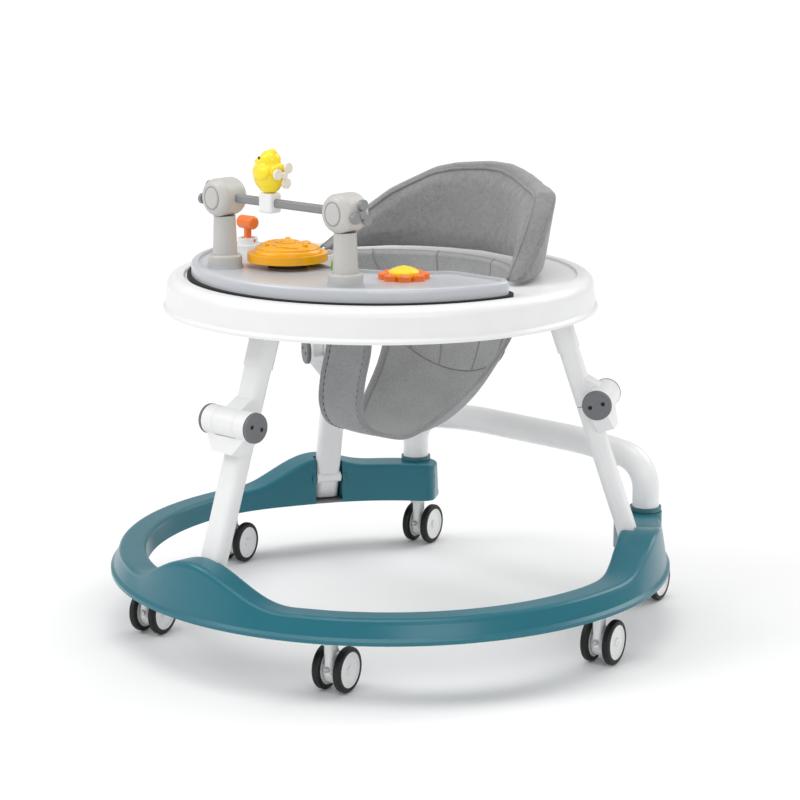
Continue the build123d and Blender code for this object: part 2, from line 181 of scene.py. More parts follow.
def wovenFabric(name, dark, light, thread=0.0013):
    # Plain weave on the piece's own map, which is in metres along and across the cloth.
    p = Paint(name)
    across = p.node("SeparateXYZ", None, {"Vector": p.node("UVMap", {"uv_map": "cloth"})}, 0)
    along = p.node("SeparateXYZ", None, {"Vector": p.node("UVMap", {"uv_map": "cloth"})}, 1)
    turns = 2 * pi / thread
    warp = (across * turns).sine()
    weft = (along * turns).sine()
    over = warp * weft
    place = p.objectPlace()
    heather = p.noise(place, 0.0018, 3.0, 0.7)
    broad = p.noise(place, 0.04, 2.0)
    tone = (heather * 0.9 + over * 0.12 + broad * 0.3 - 0.25).clamped(0.0, 1.0)
    p.shader.inputs["Sheen Weight"].default_value = 0.25
    p.shader.inputs["Specular IOR Level"].default_value = 0.2
    return p.put(Base_Color=p.mix(tone, dark, light), Roughness=heather * 0.1 + 0.8,
                 Normal=p.bump(over * 0.35 + heather * 0.65, 0.6, 0.0004))


finish = {
    "teal": mouldedPlastic("TealRail", (0.005, 0.145, 0.195), 0.3, coat=0.12),
    "white": mouldedPlastic("WhiteShell", (0.86, 0.862, 0.865), 0.34),
    "barWhite": mouldedPlastic("WhiteTube", (0.9, 0.902, 0.905), 0.3, coat=0.3),
    "lightGrey": mouldedPlastic("ToyTrayGrey", (0.56, 0.58, 0.61), 0.3, coat=0.25),
    "warmGrey": mouldedPlastic("PostGrey", (0.55, 0.54, 0.52), 0.4),
    "grey": mouldedPlastic("CapGrey", (0.15, 0.155, 0.165), 0.45, coat=0.05),
    "barGrey": mouldedPlastic("ToyBarGrey", (0.24, 0.245, 0.25), 0.3, coat=0.3),
    "dark": mouldedPlastic("DarkFitting", (0.05, 0.054, 0.06), 0.5, coat=0.0),
    "socket": mouldedPlastic("SocketGrey", (0.06, 0.165, 0.195), 0.45, coat=0.05),
    # Near black: painted shade, used for the shadowed gap under the toy tray and the screw recesses in the
    # knee caps.
    "shadeBlack": mouldedPlastic("BlackFoam", (0.008, 0.008, 0.008), 0.7, coat=0.0),
    "orange": mouldedPlastic("ToyOrange", (0.93, 0.19, 0.012), 0.28, coat=0.4),
    "amber": mouldedPlastic("ToyAmber", (1.0, 0.46, 0.001), 0.3, coat=0.15),
    "yellow": mouldedPlastic("ToyYellow", (1.0, 0.76, 0.014), 0.3, coat=0.2),
    "green": mouldedPlastic("ToyGreen", (0.22, 0.56, 0.03), 0.3, coat=0.4),
    # Darker grey for the rings round the post-head plates: painted shade of the groove round each plate.
    "postGrooveShade": mouldedPlastic("PostLine", (0.36, 0.355, 0.34), 0.45, coat=0.0),
    "cream": mouldedPlastic("ToyCream", (0.84, 0.78, 0.66), 0.35, coat=0.2),
    "steel": brushedSteel("PinSteel"),
    "tyre": tyreRubber("WheelRubber"),
    "plush": plushFabric("BackPlush", (0.14, 0.141, 0.143), (0.42, 0.422, 0.428)),
    "weave": wovenFabric("SeatWeave", (0.23, 0.232, 0.235), (0.56, 0.563, 0.568)),
    "binding": wovenFabric("EdgeTape", (0.2, 0.203, 0.207), (0.46, 0.465, 0.47), 0.0009),
}

nodeFinish = {
    "base_ring": "teal", "foot_plates": "grey", "base_pivot_pins": "steel", "push_bar": "barWhite",
    # tray_mat is a dark grey holder under the toy tray, coloured near black as painted shade of the gap
    # beneath the tray.
    "bar_sockets": "socket", "tray_ring": "white", "toy_tray": "lightGrey", "tray_mat": "shadeBlack",
    "top_brackets": "white", "front_top_pin": "steel", "lever_seat": "white", "toy_posts": "warmGrey",
    "toy_bar": "barGrey", "bird_clip": "white", "sound_unit": "dark", "flower_petals": "orange",
    "left_spinner": "barGrey", "right_spinner": "barGrey", "bird_propeller": "cream", "bird": "yellow",
    "lever": "orange", "music_dome": "amber", "green_button": "green", "flower_button": "yellow",
}


def finishOf(name):
    if name in nodeFinish:
        return nodeFinish[name]
    for ending, key in (("housing", "white"), ("hubs", "white"), ("tyres", "tyre"), ("knee_pin", "steel"),
                        ("knee_caps", "grey"), ("_leg", "white"), ("sleeve", "white")):
        if name.endswith(ending):
            return key
    return "white"


def dress(piece, key):
    piece.data.materials.clear()
    piece.data.materials.append(finish[key])


for name, node in nodes.items():
    dress(node, finishOf(name))
print("CAD nodes dressed")


# Mesh helpers. A grid is an array of points, rows by columns.
def gridFaces(rows, columns, loopRows, loopColumns):
    r = np.arange(rows if loopRows else rows - 1)
    c = np.arange(columns if loopColumns else columns - 1)
    r, c = (x.ravel() for x in np.meshgrid(r, c, indexing="ij"))
    rn, cn = (r + 1) % rows, (c + 1) % columns
    return np.stack([r * columns + c, rn * columns + c, rn * columns + cn, r * columns + cn], 1)


def meshFrom(name, points, quads, key, extraFaces=()):
    mesh = bpy.data.meshes.new(name)
    mesh.from_pydata(points.tolist(), [], quads.tolist() + [list(f) for f in extraFaces])
    mesh.validate()
    mesh.polygons.foreach_set("use_smooth", np.ones(len(mesh.polygons), dtype=bool))
    mesh.update()
    piece = bpy.data.objects.new(name, mesh)
    bpy.context.scene.collection.objects.link(piece)
    dress(piece, key)
    return piece


def outward(piece):
    # Merges doubles and points every face out.
    work = bmesh.new()
    work.from_mesh(piece.data)
    bmesh.ops.remove_doubles(work, verts=work.verts, dist=1e-6)
    bmesh.ops.recalc_face_normals(work, faces=work.faces)
    work.to_mesh(piece.data)
    work.free()
    return piece


def closedTube(name, rings, key):
    # Rings of points one after another, joined side to side, with a fan at each end.
    rows, columns, _ = rings.shape
    points = np.vstack([rings.reshape(-1, 3), rings[0].mean(0), rings[-1].mean(0)])
    quads = gridFaces(rows, columns, False, True)
    first, last = rows * columns, rows * columns + 1
    i = np.arange(columns)
    j = (i + 1) % columns
    fans = np.stack([np.full(columns, first), i, j], 1).tolist()
    top = (rows - 1) * columns
    fans += np.stack([np.full(columns, last), top + j, top + i], 1).tolist()
    return outward(meshFrom(name, points, quads, key, fans))


def lengthsAlong(line):
    # The distance from the line's start to each of its points.
    return np.concatenate([[0], np.cumsum(np.linalg.norm(np.diff(line, axis=0), axis=1))])


def smoothLine(points, count, loop=False):
    # Catmull-Rom through the points, evenly spaced by length.
    p = np.asarray(points, float)
    if loop:
        q = np.vstack([p[-1], p, p[0], p[1]])
    else:
        q = np.vstack([2 * p[0] - p[1], p, 2 * p[-1] - p[-2]])
    spans = len(q) - 3
    u = np.linspace(0, spans, 24 * spans + 1)
    k = np.minimum(u.astype(int), spans - 1)
    t = (u - k)[:, None]
    a, b, c, d = q[k], q[k + 1], q[k + 2], q[k + 3]
    fine = 0.5 * (2 * b + (c - a) * t + (2 * a - 5 * b + 4 * c - d) * t**2 + (3 * b - a - 3 * c + d) * t**3)
    gone = lengthsAlong(fine)
    even = np.linspace(0, gone[-1], count, endpoint=not loop)
    return np.stack([np.interp(even, gone, fine[:, i]) for i in range(fine.shape[1])], 1)


def carried(path, normals, width, height, sides=12, loop=False, square=1.0):
    # An oval profile carried along a path: its width lies across the path in the surface,
    # its height along the normal.
    along = np.gradient(path, axis=0)
    if loop:
        along = np.roll(path, -1, 0) - np.roll(path, 1, 0)
    along /= np.linalg.norm(along, axis=1)[:, None]
    across = np.cross(along, normals)
    across /= np.linalg.norm(across, axis=1)[:, None]
    up = np.cross(across, along)
    a = np.linspace(0, 2 * pi, sides, endpoint=False)
    x = np.sign(np.cos(a)) * np.abs(np.cos(a)) ** square * width / 2
    y = np.sign(np.sin(a)) * np.abs(np.sin(a)) ** square * height / 2
    return path[:, None] + across[:, None] * x[None, :, None] + up[:, None] * y[None, :, None]


def loopTube(name, rings, key):
    rows, columns, _ = rings.shape
    return outward(meshFrom(name, rings.reshape(-1, 3), gridFaces(rows, columns, True, True), key))


def together(name, parts, key):
    # Joins finished meshes into one piece.
    points, faces, start = [], [], 0
    for part in parts:
        count = len(part.data.vertices)
        co = np.empty(count * 3)
        part.data.vertices.foreach_get("co", co)
        points.append(co.reshape(-1, 3))
        faces += [[v + start for v in f.vertices] for f in part.data.polygons]
        start += count
        bpy.data.objects.remove(part)
    mesh = bpy.data.meshes.new(name)
    mesh.from_pydata(np.vstack(points).tolist(), [], faces)
    mesh.polygons.foreach_set("use_smooth", np.ones(len(mesh.polygons), dtype=bool))
    piece = bpy.data.objects.new(name, mesh)
    bpy.context.scene.collection.objects.link(piece)
    dress(piece, key)
    return piece


def modified(piece, kind, **settings):
    m = piece.modifiers.new(kind.title(), kind)
    for key, value in settings.items():
        setattr(m, key, value)
    return m


def applied(piece):
    # Puts the piece's modifiers into its mesh.
    graph = bpy.context.evaluated_depsgraph_get()
    mesh = bpy.data.meshes.new_from_object(piece.evaluated_get(graph), depsgraph=graph)
    old = piece.data
    piece.modifiers.clear()
    piece.data = mesh
    bpy.data.meshes.remove(old)
    return piece


def coordsOf(mesh):
    co = np.empty(len(mesh.vertices) * 3)
    mesh.vertices.foreach_get("co", co)
    return co.reshape(-1, 3)


def giveSlot(piece, body):
    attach(piece, body)


# Back pad: a padded panel wrapped round the back of the opening.
backPad = {
    "centreY": 0.004, "reach": 79.0, "inner": 0.1535, "thick": 0.031, "flare": 0.018, "bottom": 0.4095,
    "topAngles": (-79, -70, -66, -60, -50, -40, -23, -15, 0, 10, 20, 30, 40, 47, 55, 62, 70, 79),
    "topHeights": (0.411, 0.412, 0.418, 0.432, 0.461, 0.484, 0.511, 0.517, 0.522,
                   0.521, 0.514, 0.507, 0.505, 0.503, 0.485, 0.465, 0.44, 0.4165),
    "voxel": 0.0045, "pressure": 4.0, "cap": 0.006, "piping": 0.0035,
}


def backPadPoint(theta, v):
    # theta: degrees from straight behind. v: 0 to 1 round the section, from the bottom of the inner face,
    # up it, over the top and down the outer face. Returns the outline's offset and height.
    b = backPad
    top = np.interp(theta, b["topAngles"], b["topHeights"]) - 0.003
    tall = top - b["bottom"]
    a = 2 * pi * v
    power = 0.42
    cx = np.sign(np.cos(a)) * np.abs(np.cos(a)) ** power
    cy = np.sign(np.sin(a)) * np.abs(np.sin(a)) ** power
    h = 0.5 + 0.5 * cy
    taper = 1 - 0.35 * np.clip((np.abs(theta) - 60) / 19, 0, 1) ** 2
    thick = (b["thick"] - 0.004) * taper
    lean = b["flare"] * np.clip((h * tall) / 0.1, 0, 1) ** 1.3
    radius = b["inner"] + 0.002 + b["thick"] / 2 + lean + cx * thick / 2
    return radius, b["bottom"] + h * tall


def makeBackPad():
    b = backPad
    theta = np.linspace(-b["reach"], b["reach"], 120)
    v = np.linspace(0, 1, 56, endpoint=False)
    t, vv = np.meshgrid(theta, v, indexing="ij")
    radius, height = backPadPoint(t, vv)
    edge = np.clip((np.abs(t) - (b["reach"] - 4)) / 4, 0, 1)
    middleRadius = radius.mean(1, keepdims=True)
    middleHeight = height.mean(1, keepdims=True)
    shrink = np.sqrt(np.clip(1 - edge**2, 0.02, 1))
    radius = middleRadius + (radius - middleRadius) * shrink
    height = middleHeight + (height - middleHeight) * shrink
    a = np.radians(t)
    rings = np.stack([radius * np.sin(a), b["centreY"] + radius * np.cos(a), height], -1)
    pad = closedTube("back_pad", rings, "plush")
    return pad


def puff(piece, voxel, pressure, cap, held, floor):
    # Remeshes the piece, swells it as cloth under pressure, and limits how far any point goes.
    modified(piece, "REMESH", mode="VOXEL", voxel_size=voxel, use_smooth_shade=True)
    applied(piece)
    before = coordsOf(piece.data)
    group = piece.vertex_groups.new(name="held")
    heldNow = held(before)
    for index in np.nonzero(heldNow > 0)[0]:
        group.add([int(index)], float(heldNow[index]), "REPLACE")
    cloth = modified(piece, "CLOTH")
    s = cloth.settings
    s.quality = 5
    s.mass = 0.3
    s.use_pressure = True
    s.uniform_pressure_force = pressure
    s.tension_stiffness = s.compression_stiffness = 12
    s.shear_stiffness = 6
    s.bending_stiffness = 0.4
    s.vertex_group_mass = "held"
    s.effector_weights.gravity = 0
    scene = bpy.context.scene
    for step in range(1, 21):
        scene.frame_set(step)
    applied(piece)
    after = coordsOf(piece.data)
    move = after - before
    far = np.linalg.norm(move, axis=1)[:, None]
    after = before + move * np.minimum(1, cap / np.maximum(far, 1e-9))
    after[:, 2] = np.maximum(after[:, 2], floor)
    piece.data.vertices.foreach_set("co", after.ravel())
    piece.data.update()
    piece.vertex_groups.clear()
    scene.frame_set(1)


def padSeamPath(side, count=170):
    # side -1: the seam along the inner edge of the top. side 1: along the outer edge. Runs end to end.
    theta = np.linspace(-backPad["reach"] + 1.2, backPad["reach"] - 1.2, count)
    where = 0.375 if side < 0 else 0.125
    radius, height = backPadPoint(theta, np.full(count, where))
    a = np.radians(theta)
    return np.stack([radius * np.sin(a), backPad["centreY"] + radius * np.cos(a), height], 1)


def nearSeams(paths, reach):
    def held(points):
        best = np.full(len(points), 1.0)
        for path in paths:
            for chunk in np.array_split(path, 6):
                d = np.linalg.norm(points[:, None] - chunk[None], axis=2).min(1)
                best = np.minimum(best, d)
        return np.clip(1 - best / reach, 0, 1)
    return held


def ontoSurface(piece, path):
    # Moves each point of a path to the nearest point of the piece; gives the points and their normals.
    tree = BVHTree.FromObject(piece, bpy.context.evaluated_depsgraph_get())
    found = [tree.find_nearest(Vector(p)) for p in path]
    return np.array([f[0] for f in found]), np.array([f[1] for f in found])


def eased(path, turns=3):
    for _ in range(turns):
        path[1:-1] = path[1:-1] * 0.5 + (path[:-2] + path[2:]) * 0.25
    return path


backPadPiece = makeBackPad()
seamPaths = [padSeamPath(-1), padSeamPath(1)]
puff(backPadPiece, backPad["voxel"], backPad["pressure"], backPad["cap"], nearSeams(seamPaths, 0.006), 0.4078)
modified(backPadPiece, "SUBSURF", levels=1, render_levels=1)
applied(backPadPiece)
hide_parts("seat_back")
giveSlot(backPadPiece, "tray")
for label, path in zip(("inner", "outer"), seamPaths):
    spots, normals = ontoSurface(backPadPiece, path)
    spots, normals = eased(spots), eased(normals)
    rings = carried(spots + normals * 0.0004, normals, backPad["piping"], backPad["piping"] * 0.8)
    giveSlot(closedTube(f"back_pad_piping_{label}", rings, "plush"), "tray")
print("back pad done")


# Sling seat: a strap in front that runs under the child and widens into the back of the bucket.
# Each row: the middle line's (y, z), then the right-hand edge's (x, y, z).
sling = {
    "rows": (
        (-55, 402, 31, -55, 402), (-48, 366, 30, -48, 366), (-48, 330, 30, -48, 330),
        (-58, 294, 30, -58, 294), (-61, 264, 30, -61, 264), (-50, 240, 31, -50, 241),
        (-23, 226, 36, -23, 228), (23, 218, 45, 7, 225), (71, 219, 62, 45, 248), (107, 236, 77, 85, 281),
        (129, 266, 89, 108, 311), (142, 304, 103, 115, 341), (149, 350, 124, 87, 372),
        (153, 402, 143, 37, 402), (153, 407, 143, 37, 407), (158, 410, 148, 39, 410),
    ),
    "thick": 0.0032, "tape": 0.009, "tapeThick": 0.0052, "stitchGap": 0.0075, "stitchLong": 0.0042,
}


def slingGrid(rowsOut=150, half=26):
    # Rows follow the strap from the front rim to the back rim. Across, each row is a curve from edge to edge
    # whose middle is on the middle line; towards the back it bends round like the bucket.
    rows = smoothLine(np.array(sling["rows"], float) / 1000, rowsOut)
    middle = np.stack([np.zeros(rowsOut), rows[:, 0], rows[:, 1]], 1)
    edge = rows[:, 2:5]
    spread = np.clip((edge[:, 0] - 0.03) / 0.1, 0, 1)[:, None]
    control = np.stack([edge[:, 0] * 0.5 + 0.31 * edge[:, 0] * spread[:, 0], rows[:, 0], rows[:, 1]], 1)
    weight = 1 - 0.22 * spread
    t = np.linspace(0, 1, half + 1)
    a, b, c = (1 - t) ** 2, 2 * t * (1 - t), t**2
    bottom = a[None] + b[None] * weight + c[None]
    side = (middle[:, None] * a[None, :, None] + control[:, None] * (b[None] * weight)[:, :, None]
            + edge[:, None] * c[None, :, None]) / bottom[:, :, None]
    mirrored = side[:, :0:-1] * np.array([-1.0, 1.0, 1.0])
    return np.concatenate([mirrored, side], 1)


def gridNormals(grid):
    n = np.cross(np.gradient(grid, axis=0), np.gradient(grid, axis=1))
    return n / np.maximum(np.linalg.norm(n, axis=2), 1e-12)[:, :, None]


def clothMap(piece, grid):
    # Stores, for every corner of every face, the distance across and along the cloth in metres.
    rows, columns, _ = grid.shape
    steps = np.linalg.norm(np.diff(grid, axis=1), axis=2)
    across = np.concatenate([np.zeros((rows, 1)), np.cumsum(steps, 1)], 1)
    across -= across[:, columns // 2][:, None]
    along = lengthsAlong(grid[:, columns // 2])
    uv = np.stack([across, np.repeat(along[:, None], columns, 1)], 2).reshape(-1, 2)
    mesh = piece.data
    corner = np.empty(len(mesh.loops), dtype=np.int32)
    mesh.loops.foreach_get("vertex_index", corner)
    layer = mesh.uv_layers.new(name="cloth")
    layer.data.foreach_set("uv", uv[corner].ravel())
    return along[-1], across


def tapeMap(piece, scale=1.0):
    # A map for tapes and small cloth parts: plan position in metres.
    mesh = piece.data
    co = coordsOf(mesh)
    corner = np.empty(len(mesh.loops), dtype=np.int32)
    mesh.loops.foreach_get("vertex_index", corner)
    layer = mesh.uv_layers.new(name="cloth")
    layer.data.foreach_set("uv", (co[:, [0, 2]] * scale)[corner].ravel())


def slingPiece(piece):
    giveSlot(piece, "tray")
    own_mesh(piece)


slingPoints = slingGrid()
rows, columns, _ = slingPoints.shape
slingFaces = gridFaces(rows, columns, False, False)
slingCloth = meshFrom("sling_seat_cloth", slingPoints.reshape(-1, 3), slingFaces, "weave")
clothLength, acrossMap = clothMap(slingCloth, slingPoints)
normals = gridNormals(slingPoints)
modified(slingCloth, "SOLIDIFY", thickness=sling["thick"], offset=0.0, use_rim=True)
applied(slingCloth)
outward(slingCloth)
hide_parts("sling_seat")
slingPiece(slingCloth)
for label, column in (("left", -1), ("right", 0)):
    size = (sling["tape"], sling["tapeThick"])
    rings = carried(slingPoints[:, column], normals[:, column], *size, 14, False, 0.7)
    tape = closedTube(f"leg_hole_binding_{label}", rings, "binding")
    tapeMap(tape)
    slingPiece(tape)


def seamRidge(name, path, normalsHere, width=0.0035, height=0.0024, key="binding"):
    rings = carried(path, normalsHere, width, height + sling["thick"], 8)
    ridge = closedTube(name, rings, key)
    tapeMap(ridge)
    slingPiece(ridge)
    return ridge


half = columns // 2
seamRow = int(rows * 0.72)
seamRidge("seat_seam_cross", slingPoints[seamRow, 2:-2], normals[seamRow, 2:-2])
for label, share in (("far", -0.62), ("farMiddle", -0.22), ("nearMiddle", 0.22), ("near", 0.62)):
    column = int(round(half + share * half))
    seamRidge(f"seat_seam_up_{label}", slingPoints[seamRow:, column], normals[seamRow:, column])


def stitchRow(name, path, normalsHere, lift):
    # Short raised stitches along a path, spaced evenly.
    line = smoothLine(path, 400)
    lengths = lengthsAlong(line)
    starts = np.arange(0.006, lengths[-1] - 0.006, sling["stitchGap"])
    parts = []
    for start in starts:
        s = np.linspace(start, start + sling["stitchLong"], 5)
        spot = np.stack([np.interp(s, lengths, line[:, i]) for i in range(3)], 1)
        share = start / lengths[-1]
        normal = normalsHere[int(share * (len(normalsHere) - 1))]
        spot = spot + normal * lift
        swell = np.array([0.25, 0.85, 1.0, 0.85, 0.25])[:, None, None]
        rings = carried(spot, np.repeat(normal[None], 5, 0), 0.0013, 0.0012, 6)
        rings = spot[:, None] + (rings - spot[:, None]) * swell
        parts.append(closedTube("stitch", rings, "dark"))
    row = together(name, parts, "dark")
    slingPiece(row)


strapRows = int(rows * 0.46)
for label, column in (("left", -4), ("right", 3)):
    for face, sign in (("out", -1), ("in", 1)):
        path = slingPoints[4:strapRows, column]
        stitchRow(f"strap_stitches_{label}_{face}", path, normals[4:strapRows, column], sign * 0.0019)
print("sling seat done")


# Toys: relief, plates and the bird, on the CAD buttons and posts.
toys = {
    "domeX": -0.048, "domeY": -0.096, "domeTop": 0.438, "domeWide": 0.039, "domeHigh": 0.012,
    "flowerX": 0.105, "flowerY": -0.069, "petalTop": 0.427, "postX": 0.094, "postY": -0.148, "barZ": 0.501,
    "birdX": -0.021, "birdFoot": 0.5125,
}


def ellipsoid(name, centre, radii, key, turn=0.0, tilt=0.0, around=28, along=16):
    # Points at (cos u cos v, sin u cos v, sin v) times the radii, tilted about Y and turned about Z.
    u = np.linspace(0, 2 * pi, around, endpoint=False)
    v = np.linspace(-pi / 2 + 0.12, pi / 2 - 0.12, along)
    vv, uu = np.meshgrid(v, u, indexing="ij")
    p = np.stack([np.cos(uu) * np.cos(vv) * radii[0], np.sin(uu) * np.cos(vv) * radii[1],
                  np.sin(vv) * radii[2]], -1)
    tiltBy = np.array([[cos(tilt), 0, sin(tilt)], [0, 1, 0], [-sin(tilt), 0, cos(tilt)]])
    turnBy = np.array([[cos(turn), -sin(turn), 0], [sin(turn), cos(turn), 0], [0, 0, 1]])
    return closedTube(name, p @ (turnBy @ tiltBy).T + np.array(centre), key)


def melted(name, parts, key, voxel, turns):
    # Joins closed forms into one skin and smooths it.
    whole = together(name, parts, key)
    modified(whole, "REMESH", mode="VOXEL", voxel_size=voxel, use_smooth_shade=True)
    modified(whole, "SMOOTH", factor=0.5, iterations=turns)
    applied(whole)
    return whole


def makeBird():
    x, y, z = toys["birdX"], toys["postY"], toys["birdFoot"]
    parts = [
        ellipsoid("body", (x - 0.0005, y, z + 0.0185), (0.0185, 0.0165, 0.0185), "yellow"),
        ellipsoid("foot", (x, y, z + 0.005), (0.0115, 0.0115, 0.006), "yellow"),
        ellipsoid("head", (x + 0.001, y, z + 0.0345), (0.0125, 0.0115, 0.0115), "yellow"),
        ellipsoid("crest", (x + 0.003, y, z + 0.0425), (0.0075, 0.005, 0.0045), "yellow", 0.0, -0.35),
        ellipsoid("beak", (x - 0.0135, y, z + 0.0315), (0.0085, 0.0055, 0.0042), "yellow", 0.0, 0.15),
        ellipsoid("breast", (x - 0.0105, y, z + 0.0215), (0.0105, 0.0125, 0.0115), "yellow"),
        ellipsoid("tail", (x + 0.0145, y, z + 0.0265), (0.0075, 0.0085, 0.0045), "yellow", 0.0, -0.7),
    ]
    for side in (-1, 1):
        parts.append(ellipsoid("wing", (x + 0.003, y + side * 0.0145, z + 0.0215), (0.0115, 0.0042, 0.0075),
                               "yellow", 0.0, -0.35))
    bird = melted("bird_body", parts, "yellow", 0.0009, 5)
    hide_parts("bird")
    giveSlot(bird, "bird")
    eyes = [ellipsoid("eye", (x - 0.0062, y + side * 0.0098, z + 0.0375), (0.0016, 0.0012, 0.0018), "dark")
            for side in (-1, 1)]
    giveSlot(together("bird_eyes", eyes, "dark"), "bird")


def domeHeight(radius):
    share = np.clip(radius / toys["domeWide"], 0, 0.995)
    return toys["domeTop"] + toys["domeHigh"] * np.sqrt(1 - share**2)


def domeNormal(x, y, radius):
    share = np.clip(radius / toys["domeWide"], 0, 0.99)
    slope = toys["domeHigh"] / toys["domeWide"] ** 2 * radius / np.sqrt(1 - share**2)
    reach = np.maximum(radius, 1e-9)
    n = np.stack([slope * x / reach, slope * y / reach, np.ones_like(x)], 1)
    return n / np.linalg.norm(n, axis=1)[:, None]


def onDome(angles, radii):
    x, y = radii * np.cos(angles), radii * np.sin(angles)
    path = np.stack([x + toys["domeX"], y + toys["domeY"], domeHeight(radii)], 1)
    return path, domeNormal(x, y, radii)


def makeDomeRelief():
    parts = []
    a = np.linspace(0, 2 * pi, 90, endpoint=False)
    for radius, width, height in ((0.0125, 0.003, 0.0026), (0.0345, 0.003, 0.0022)):
        path, normal = onDome(a, np.full(90, radius))
        parts.append(loopTube("ring", carried(path, normal, width, height, 10, True), "amber"))
    for i in range(3):
        a = np.linspace(0.25, 1.75, 40) + i * 2 * pi / 3
        path, normal = onDome(a, np.linspace(0.018, 0.029, 40))
        swell = np.sin(np.linspace(0.15, pi - 0.15, 40)) ** 0.5
        rings = carried(path, normal, 0.0065, 0.0042, 12)
        rings = path[:, None] + (rings - path[:, None]) * swell[:, None, None]
        parts.append(closedTube("swirl", rings, "amber"))
    for angle, radius, size in ((2.35, 0.0265, 0.0042), (4.4, 0.0245, 0.003), (0.1, 0.026, 0.003)):
        spot, _ = onDome(np.array([angle]), np.array([radius]))
        centre = spot[0] + np.array([0, 0, 0.0008])
        parts.append(ellipsoid("bead", centre, (size, size, size * 0.85), "amber"))
    path, normal = onDome(np.array([0.0]), np.array([0.0]))
    parts.append(ellipsoid("boss", path[0], (0.0085, 0.0085, 0.0022), "amber"))
    giveSlot(together("music_button_relief", parts, "amber"), "music_button")


def flatRing(name, centre, radius, width, height, key, stretch=1.0):
    a = np.linspace(0, 2 * pi, 72, endpoint=False)
    path = np.stack([radius * np.cos(a), radius * stretch * np.sin(a), np.zeros(72)], 1) + np.array(centre)
    normal = np.repeat(np.array([[0.0, 0.0, 1.0]]), 72, 0)
    return loopTube(name, carried(path, normal, width, height, 10, True), key)


def makeFlowerRelief():
    parts = []
    for i in range(8):
        a = radians(45 * i)
        spot = (toys["flowerX"] + 0.0225 * cos(a), toys["flowerY"] + 0.0225 * sin(a), toys["petalTop"])
        parts.append(ellipsoid("petal", spot, (0.0062, 0.0058, 0.0028), "orange", a))
    giveSlot(together("flower_relief", parts, "orange"), "tray")
    rings = [flatRing("ring", (toys["flowerX"], toys["flowerY"], 0.4338), 0.0085, 0.0022, 0.0018, "yellow"),
             ellipsoid("boss", (toys["flowerX"], toys["flowerY"], 0.4348), (0.005, 0.005, 0.0016), "yellow")]
    giveSlot(together("flower_button_relief", rings, "yellow"), "flower_button")


def ovalPlate(side):
    # A plain raised oval on the front of a post's head, ringed by a thin darker tube that is painted shade
    # standing for the groove round it.
    a = np.linspace(0, 2 * pi, 56, endpoint=False)
    centre = np.array([side * toys["postX"], toys["postY"] - 0.0186, toys["barZ"]])
    halfWide, halfTall = 0.0105, 0.012
    layers = ((0.86, -0.001), (1.0, -0.0002), (1.0, 0.0008), (0.94, 0.0013), (0.8, 0.0015),
              (0.4, 0.0019), (0.06, 0.002))
    rings = np.array([[[k * halfWide * cos(t), -out, k * halfTall * sin(t)] for t in a]
                      for k, out in layers]) + centre
    plate = closedTube("plate", rings, "warmGrey")
    path = np.stack([0.0112 * np.cos(a), np.full(56, -0.0006), 0.0127 * np.sin(a)], 1) + centre
    normal = np.repeat(np.array([[0.0, -1.0, 0.0]]), 56, 0)
    # The darker ring is painted shade: no groove is cut, and the tube's colour stands for the groove's
    # shadow.
    line = loopTube("line", carried(path, normal, 0.0009, 0.0012, 8, True), "postGrooveShade")
    return plate, line


def makePlates():
    made = [ovalPlate(side) for side in (-1, 1)]
    giveSlot(together("post_plates", [m[0] for m in made], "warmGrey"), "tray")
    # The darker rings are painted groove shade.
    giveSlot(together("post_plate_lines", [m[1] for m in made], "postGrooveShade"), "tray")


makeBird()
makeDomeRelief()
makeFlowerRelief()
makePlates()
print("toys done")


# Knee caps and casters: small fittings on the CAD parts.
legs = {
    "front": -90.0, "left": 30.0, "right": 150.0, "centreY": 0.019,
    "kneeR": 0.246, "kneeZ": 0.271, "lean": 18.73,
    "capFace": 0.038, "screwShift": 0.0075, "ringAt": 0.0337,
}


def legFrame(angle):
    a = radians(angle)
    outwards = np.array([cos(a), sin(a), 0.0])
    along = np.array([-sin(a), cos(a), 0.0])
    knee = np.array([0, legs["centreY"], 0]) + outwards * legs["kneeR"] + np.array([0, 0, legs["kneeZ"]])
    tilt = radians(legs["lean"])
    across = outwards * cos(tilt) + np.array([0, 0, sin(tilt)])
    return knee, along, across


def lathe(name, origin, axis, side, outline, key, around=32):
    # A closed outline of (radius, distance along the axis) turned about the axis.
    third = np.cross(axis, side)
    a = np.linspace(0, 2 * pi, around, endpoint=False)
    spoke = np.cos(a)[:, None] * side + np.sin(a)[:, None] * third
    rings = np.array([origin + axis * d + spoke * r for r, d in outline])
    return closedTube(name, rings, key)


def hoop(name, origin, axis, side, radius, width, height, key, around=48):
    third = np.cross(axis, side)
    a = np.linspace(0, 2 * pi, around, endpoint=False)
    path = origin + (np.cos(a)[:, None] * side + np.sin(a)[:, None] * third) * radius
    normal = (path - origin) / radius
    return loopTube(name, carried(path, normal, width, height, 8, True), key)


def makeKneeFittings(name):
    knee, along, across = legFrame(legs[name])
    recessShades, rings = [], []
    for end in (-1, 1):
        axis = along * end
        for shift in (-1, 1):
            spot = knee + axis * (legs["capFace"] - 0.0012) + across * shift * legs["screwShift"]
            outline = ((0.0022, -0.0002), (0.0022, 0.0004), (0.0012, 0.0004), (0.0011, 0.0001),
                       (0.0001, 0.0001))
            # Near-black discs over the screws: painted shade of the screw recesses.
            recessShades.append(lathe("hole", spot, axis, across, outline, "shadeBlack", 20))
        # Thin dark ring: painted shade of the cap's chamfer.
        rings.append(hoop("ring", knee + axis * legs["ringAt"], axis, across, 0.0163, 0.0012, 0.001, "dark"))
    giveSlot(together(f"{name}_cap_recesses", recessShades, "shadeBlack"), f"{name}_lower")
    giveSlot(together(f"{name}_cap_rings", rings, "dark"), f"{name}_lower")


casters = {
    "front": (0.148, -0.230), "mid": (0.296, 0.038), "rear": (0.185, 0.265), "yaw": 13.5,
    "boltZ": 0.028, "boltForward": 0.0047,
}


